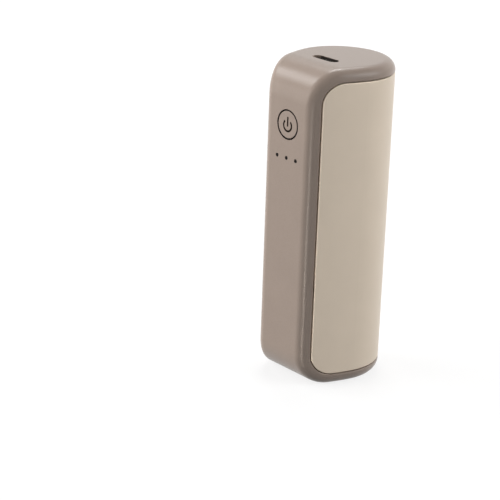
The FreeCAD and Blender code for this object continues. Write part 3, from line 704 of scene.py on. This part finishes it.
def screw_tree(finish):
    """Four pan-head screws at the corners of a rectangle, with their heads towards +Y."""
    tree, given = new_tree("pan_head_screws", (
        ("Columns apart", "size"), ("Rows apart", "size"), ("Head radius", "size"), ("Head height", "size"),
        ("Head round", "size"), ("Recess reach", "size"), ("Recess width", "size"), ("Recess depth", "size"),
        ("Core radius", "size"), ("Thread radius", "size"), ("Thread pitch", "size"),
        ("Shank length", "size"), ("Middle", "place")))
    screw = turned(tree, joined(tree, screw_head(tree, given), *screw_shank(tree, given)), -90)
    places = put(tree, "GeometryNodeMeshGrid", Size_X=given["Columns apart"], Size_Y=given["Rows apart"],
                 Vertices_X=2, Vertices_Y=2)
    screws = put(tree, "GeometryNodeInstanceOnPoints", Points=turned(tree, places, 90), Instance=screw)
    end_tree(tree, screws, given["Middle"], finish)
    return tree


def board_screws():
    """Screws through the board, as far apart as in the part."""
    head_radius = 1.5 * MM
    head_height = 1.1 * MM
    low, high = box_of("board_screws")
    middle = (low + high) / 2
    grow("board_screws_threaded", screw_tree(finishes["steel"]), {
        "Columns apart": high.x - low.x - 2 * head_radius, "Rows apart": high.z - low.z - 2 * head_radius,
        "Head radius": head_radius, "Head height": head_height, "Head round": 0.4 * MM,
        "Recess reach": 1.0 * MM, "Recess width": 0.4 * MM, "Recess depth": 0.5 * MM,
        "Core radius": 0.56 * MM, "Thread radius": 0.745 * MM, "Thread pitch": 0.55 * MM,
        "Shank length": high.y - low.y - head_height,
        "Middle": (middle.x, high.y - head_height, middle.z)}, "board_screws")


def lead_tree(finish):
    """Bent leads in two rows along Z, one on each side of a chip's body."""
    tree, given = new_tree("chip_leads", (
        ("Leads a side", "count"), ("Lead pitch", "size"), ("Body width", "size"), ("Lead reach", "size"),
        ("Lead rise", "size"), ("Lead width", "size"), ("Lead thickness", "size"), ("Middle", "place")))
    low = times(tree, given["Lead thickness"], 0.5)
    root = times(tree, given["Lead thickness"], -1.0)
    bend = times(tree, given["Lead reach"], 0.75)
    back = times(tree, given["Lead reach"], 0.20)
    path = put(tree, "GeometryNodeCurvePrimitiveBezierSegment", Resolution=14,
               Start=vector(tree, root, 0.0, given["Lead rise"]),
               Start_Handle=vector(tree, bend, 0.0, given["Lead rise"]),
               End_Handle=vector(tree, back, 0.0, low), End=vector(tree, given["Lead reach"], 0.0, low))
    path = put(tree, "GeometryNodeSetCurveNormal", {"mode": "FREE"}, Curve=path, Normal=vector(tree, y=1.0))
    strip = put(tree, "GeometryNodeCurvePrimitiveQuadrilateral", Width=given["Lead width"],
                Height=given["Lead thickness"])
    lead = put(tree, "GeometryNodeCurveToMesh", Curve=path, Profile_Curve=strip, Fill_Caps=True)
    places = put(tree, "GeometryNodeMeshGrid", Size_X=given["Body width"], Vertices_X=2,
                 Size_Y=row_length(tree, given["Leads a side"], given["Lead pitch"]),
                 Vertices_Y=given["Leads a side"])
    side = axes(tree, put(tree, "GeometryNodeInputPosition"))[0]
    outward = rotation(tree, z=times(tree, maths(tree, "LESS_THAN", side, 0.0), math.pi))
    leads = put(tree, "GeometryNodeInstanceOnPoints", Points=places, Instance=lead, Rotation=outward)
    end_tree(tree, turned(tree, leads, -90), given["Middle"], finish)
    return tree


def charging_chip():
    """Chip on the board's back: a rounded body and eight bent leads."""
    lead_reach = 1.05
    stand_off = 0.2
    low, high = box_of("control_chip")
    middle = (low + high) / 2
    width, thickness, length = (high - low) / MM
    body = (width - 2 * lead_reach, length, thickness - stand_off)
    grow("chip_leads", lead_tree(finishes["nickel"]), {
        "Leads a side": 4, "Lead pitch": 1.27 * MM, "Body width": body[0] * MM, "Lead reach": lead_reach * MM,
        "Lead rise": 0.85 * MM, "Lead width": 0.41 * MM, "Lead thickness": 0.2 * MM,
        "Middle": (middle.x, low.y, middle.z)}, "control_chip")
    plate_grid("chip_body", "control_chip", "black_plastic", (middle.x, low.y + stand_off * MM, middle.z),
               body, corner=0.15, back=True)


def roll_tree(finish):
    """Foil wound in a spiral round an open core."""
    tree, given = new_tree("foil_roll", (
        ("Turns", "size"), ("Core radius", "size"), ("Outer radius", "size"), ("Foil thickness", "size"),
        ("Roll length", "size"), ("Middle", "place")))
    last_turn = minus(tree, given["Outer radius"], times(tree, given["Foil thickness"], 0.5))
    spiral = put(tree, "GeometryNodeCurveSpiral", Resolution=44, Rotations=given["Turns"],
                 Start_Radius=given["Core radius"], End_Radius=last_turn, Height=0.0)
    spiral = put(tree, "GeometryNodeSetCurveNormal", {"mode": "Z_UP"}, Curve=spiral)
    foil = put(tree, "GeometryNodeCurvePrimitiveQuadrilateral", Width=given["Foil thickness"],
               Height=given["Roll length"])
    roll = put(tree, "GeometryNodeCurveToMesh", Curve=spiral, Profile_Curve=foil, Fill_Caps=True)
    end_tree(tree, roll, given["Middle"], finish)
    return tree


def cell_roll():
    """Wound foil inside the cell's can."""
    low, high = box_of("cell_winding")
    grow("cell_foil_roll", roll_tree(finishes["foil_winding"]), {
        "Turns": 15.0, "Core radius": 1.2 * MM, "Outer radius": (high.x - low.x) / 2,
        "Foil thickness": 0.40 * MM, "Roll length": high.z - low.z,
        "Middle": (low + high) / 2}, "cell_winding")


def dome_tree(finish):
    """Thin disc lifted to a ball's shape, so that it bulges along -Y over its rim."""
    tree, given = new_tree("snap_dome", (
        ("Rim radius", "size"), ("Rise", "size"), ("Sheet thickness", "size"), ("Middle", "place")))
    disc = put(tree, "GeometryNodeMeshCylinder", {"fill_type": "TRIANGLE_FAN"}, Vertices=48, Side_Segments=1,
               Fill_Segments=10, Radius=given["Rim radius"], Depth=given["Sheet thickness"])
    lift = minus(tree, given["Rise"], given["Sheet thickness"])
    squares = plus(tree, square(tree, given["Rim radius"]), square(tree, lift))
    ball = maths(tree, "DIVIDE", squares, times(tree, lift, 2.0))
    x, y = axes(tree, put(tree, "GeometryNodeInputPosition"))[:2]
    height = maths(tree, "SQRT", minus(tree, square(tree, ball), square(tree, length_of(tree, x, y))))
    bow = minus(tree, height, minus(tree, ball, lift))
    up = plus(tree, bow, times(tree, given["Sheet thickness"], 0.5))
    dome = put(tree, "GeometryNodeSetPosition", Geometry=disc, Offset=vector(tree, z=up))
    end_tree(tree, turned(tree, dome, 90), given["Middle"], finish)
    return tree


def snap_dome():
    """Steel dome under the button; the real one flattens towards its rim when pressed, but this mesh keeps
    its shape.
    """
    low, high = box_of("switch_dome")
    middle = (low + high) / 2
    rim = Vector((middle.x, high.y, middle.z))
    dome = grow("switch_snap_dome", dome_tree(finishes["steel"]), {
        "Rim radius": (high.x - low.x) / 2, "Rise": high.y - low.y, "Sheet thickness": 0.1 * MM,
        "Middle": rim}, "switch_dome")
    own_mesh(dome)


socket_contacts()
board_capacitors()
board_lights()
board_screws()
charging_chip()
cell_roll()
snap_dome()


# Floor, light and camera.

def seen_directly(tree):
    """1 for what the camera sees, also in gloss or through something clear."""
    path = tree.nodes.new("ShaderNodeLightPath")
    mirrored = maths(tree, "MAXIMUM", path.outputs["Is Camera Ray"], path.outputs["Is Glossy Ray"])
    return maths(tree, "MAXIMUM", mirrored, path.outputs["Is Transmission Ray"])


def either(tree, share, first, second):
    """The first shader where the share is 0 and the second where it is 1."""
    made = tree.nodes.new("ShaderNodeMixShader")
    tree.links.new(share, made.inputs["Fac"])
    tree.links.new(first, made.inputs[1])
    tree.links.new(second, made.inputs[2])
    return made.outputs["Shader"]


def matt_grey(tree, grey):
    made = tree.nodes.new("ShaderNodeBsdfDiffuse")
    made.inputs["Color"].default_value = (grey, grey, grey, 1)
    return made.outputs["BSDF"]


def pale_floor():
    """Near white to the camera apart from the object's shadow, and dim for the light that it throws back."""
    near_glow = 0.78
    far_glow = 1.0
    near = 0.25
    far = 1.2
    finish = bpy.data.materials.new("pale_floor")
    tree, surface = bare_tree(finish, "ShaderNodeOutputMaterial")
    x, y = axes(tree, object_place(tree))[:2]
    glow = tree.nodes.new("ShaderNodeEmission")
    strength = spread(tree, length_of(tree, x, y), near_glow, far_glow, near, far)
    tree.links.new(strength, glow.inputs["Strength"])
    seen = tree.nodes.new("ShaderNodeAddShader")
    tree.links.new(matt_grey(tree, 0.25), seen.inputs[0])
    tree.links.new(glow.outputs["Emission"], seen.inputs[1])
    tree.links.new(either(tree, seen_directly(tree), matt_grey(tree, 0.20), seen.outputs["Shader"]), surface)
    return finish


def line_glow():
    """Warm white light of the wedge."""
    finish = bpy.data.materials.new("line_glow")
    tree, surface = bare_tree(finish, "ShaderNodeOutputMaterial")
    glow = tree.nodes.new("ShaderNodeEmission")
    glow.inputs["Color"].default_value = (1.0, 0.91, 0.82, 1)
    glow.inputs["Strength"].default_value = 12.0
    tree.links.new(glow.outputs["Emission"], surface)
    return finish


def staged_sheet(name, corners, finish):
    mesh = bpy.data.meshes.new(name)
    mesh.from_pydata(corners, [], [(0, 1, 2, 3)])
    mesh.materials.append(finish)
    sheet = bpy.data.objects.new(name, mesh)
    scene.collection.objects.link(sheet)
    return sheet


def wide_floor():
    """Floor a hair under the object, in metres."""
    reach = 6.0
    drop = -0.05 * MM
    corners = [(-reach, -reach, drop), (reach, -reach, drop), (reach, reach, drop), (-reach, reach, drop)]
    staged_sheet("floor", corners, pale_floor())


def line_wedge():
    """Bright wedge on the floor that only gloss sees: it draws the thin light line down the corner."""
    turn = math.radians(-57)
    start = Vector((8.5 * MM, -14.8 * MM, 0.1 * MM))
    near = 0.006
    far = 0.26
    widening = 0.05
    along = Vector((math.cos(turn), math.sin(turn), 0))
    across = Vector((-along.y, along.x, 0))
    corners = [start + along * out + across * out * side
               for out, side in ((near, -widening), (far, -widening), (far, widening), (near, widening))]
    wedge = staged_sheet("line_wedge", corners, line_glow())
    wedge.visible_camera = False
    wedge.visible_diffuse = False
    wedge.visible_transmission = False
    wedge.visible_shadow = False


def backdrop(tree, strength):
    made = tree.nodes.new("ShaderNodeBackground")
    made.inputs["Color"].default_value = (1, 1, 1, 1)
    made.inputs["Strength"].default_value = strength
    return made.outputs["Background"]


def white_studio():
    """World that is white where it is seen and a faint light elsewhere."""
    world = bpy.data.worlds.new("studio")
    scene.world = world
    tree, surface = bare_tree(world, "ShaderNodeOutputWorld")
    tree.links.new(either(tree, seen_directly(tree), backdrop(tree, 0.02), backdrop(tree, 1.0)), surface)


def softbox(name, turn, rise, width, height, watts, in_gloss=True):
    """Soft lamp at a turn from +X and a rise above the level of the object's middle, both in degrees."""
    distance = 0.9
    object_middle = Vector((0.0, 0.0, housing_high.z / 2))
    turn = math.radians(turn)
    rise = math.radians(rise)
    away = Vector((math.cos(rise) * math.cos(turn), math.cos(rise) * math.sin(turn), math.sin(rise)))
    lamp = bpy.data.lights.new(name, "AREA")
    lamp.shape = "RECTANGLE"
    lamp.size = width
    lamp.size_y = height
    lamp.energy = watts
    box = bpy.data.objects.new(name, lamp)
    box.location = object_middle + distance * away
    box.rotation_euler = (-away).to_track_quat("-Z", "Y").to_euler()
    box.visible_camera = False
    box.visible_glossy = in_gloss
    scene.collection.objects.link(box)


def photo_camera():
    """Camera fitted to the photograph: its place in metres, and its turns about X, Y and Z in degrees."""
    place = (0.29695, -0.283405, 0.18046)
    turns = (70.0545, -1.7810, 49.7743)
    lens = bpy.data.cameras.new("camera")
    lens.lens = 120.18
    lens.sensor_width = 36.0
    camera = bpy.data.objects.new("camera", lens)
    camera.location = place
    camera.rotation_euler = [math.radians(turn) for turn in turns]
    scene.collection.objects.link(camera)
    scene.camera = camera


wide_floor()
line_wedge()
white_studio()
softbox("softbox_left", turn=-136, rise=10, width=0.80, height=0.40, watts=8.7, in_gloss=False)
softbox("softbox_crown", turn=-154, rise=39, width=0.40, height=0.25, watts=1.5)
softbox("softbox_flat", turn=-112, rise=30, width=0.50, height=0.50, watts=2.3, in_gloss=False)
softbox("softbox_side", turn=30, rise=25, width=0.90, height=0.65, watts=4.8, in_gloss=False)
softbox("softbox_rim", turn=30, rise=34, width=0.50, height=0.40, watts=1.4)
softbox("softbox_back", turn=139, rise=58, width=0.40, height=0.40, watts=2.8)
softbox("softbox_nose", turn=94, rise=12, width=0.35, height=0.40, watts=2.5, in_gloss=False)
photo_camera()
